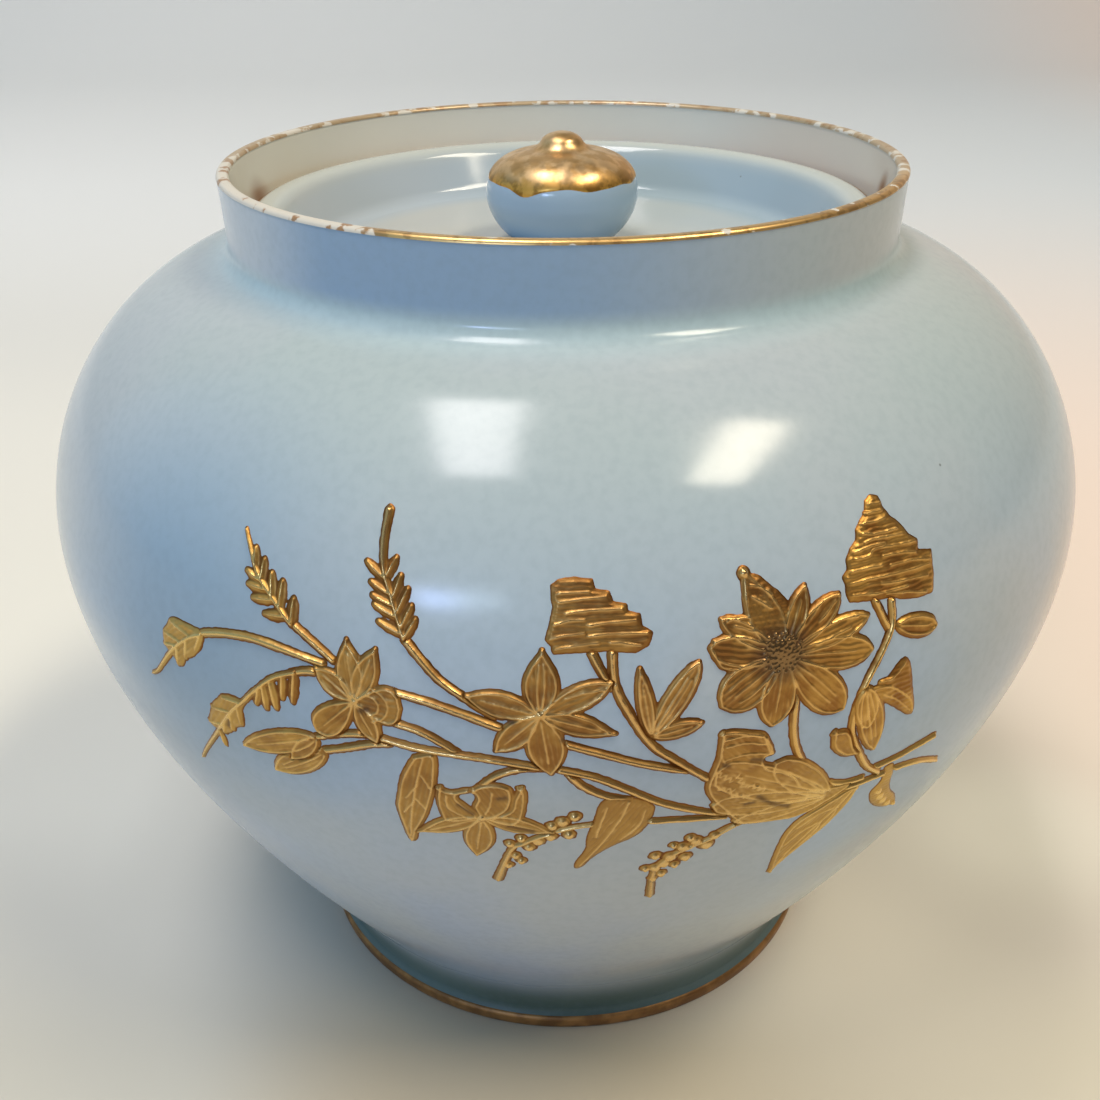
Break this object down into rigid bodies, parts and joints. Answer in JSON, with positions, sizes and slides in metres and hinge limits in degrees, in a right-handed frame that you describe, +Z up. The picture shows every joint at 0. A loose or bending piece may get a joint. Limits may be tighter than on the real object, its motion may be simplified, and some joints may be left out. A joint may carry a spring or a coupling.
{
  "type": "lidded snuff jar",
  "caption": "Round porcelain jar on a flared foot, with a short collar, a sunken dished lid that lifts out by a round knob, gold lines and a flower spray in raised gilt paste on the front.",
  "frame": {"origin": "on the table under the middle of the foot, on the jar's axis", "axes": "+Z up along the jar's axis; the flower spray is on the front, which faces -Y; +X is to the right as seen from the front"},
  "size_m": [0.15, 0.1508, 0.1287],
  "materials": {
    "blue_glaze": "gloss",
    "cream_glaze": "gloss",
    "gilding": "satin",
    "raised_paste": "satin"
  },
  "bodies": {
    "jar": {"jar_body": "blue_glaze", "foot_ring": "blue_glaze", "neck_collar": "blue_glaze", "lid_seat": "cream_glaze", "lip_gilding": "gilding", "foot_gilding": "gilding", "star_flower_left": "raised_paste", "star_flower_middle": "raised_paste", "star_flower_low": "raised_paste", "daisy": "raised_paste", "ruffled_flower": "raised_paste", "stepped_head_left": "raised_paste", "stepped_head_right": "raised_paste", "bud_upper": "raised_paste", "bud_lower": "raised_paste", "leaf_long": "raised_paste", "leaf_middle": "raised_paste", "leaf_right": "raised_paste", "leaf_round": "raised_paste", "leaf_small": "raised_paste", "trefoil_middle": "raised_paste", "trefoil_right": "raised_paste", "berry_twig": "raised_paste", "ear_upright_left": "raised_paste", "ear_upright_right": "raised_paste", "ear_drooping_upper": "raised_paste", "ear_drooping_lower": "raised_paste", "catkin_left": "raised_paste", "catkin_right": "raised_paste", "stem_head_left": "raised_paste", "stem_head_left_fork": "raised_paste", "stem_head_right": "raised_paste", "stem_head_right_fork": "raised_paste", "stem_daisy": "raised_paste", "stem_main": "raised_paste", "stem_cut": "raised_paste", "stem_buds": "raised_paste", "stem_bud_lower": "raised_paste", "stem_ear_upright_left": "raised_paste", "stem_ear_upright_right": "raised_paste", "stem_ear_drooping_upper": "raised_paste", "stem_ear_drooping_lower": "raised_paste", "stem_left_upper": "raised_paste", "stem_left_lower": "raised_paste", "stem_star_flower_low": "raised_paste", "stem_middle": "raised_paste", "stem_low": "raised_paste", "stem_leaf_middle": "raised_paste", "stem_low_right": "raised_paste", "stem_catkin_right": "raised_paste"},
    "lid": {"lid_dish": "blue_glaze", "lid_gilding": "gilding", "lid_knob": "blue_glaze", "knob_gilding": "gilding"}
  },
  "joints": [
    {"name": "lid_lift", "type": "slide", "parent": "jar", "child": "lid", "axis": [0, 0, 1], "range_m": [0, 0.06]}
  ]
}
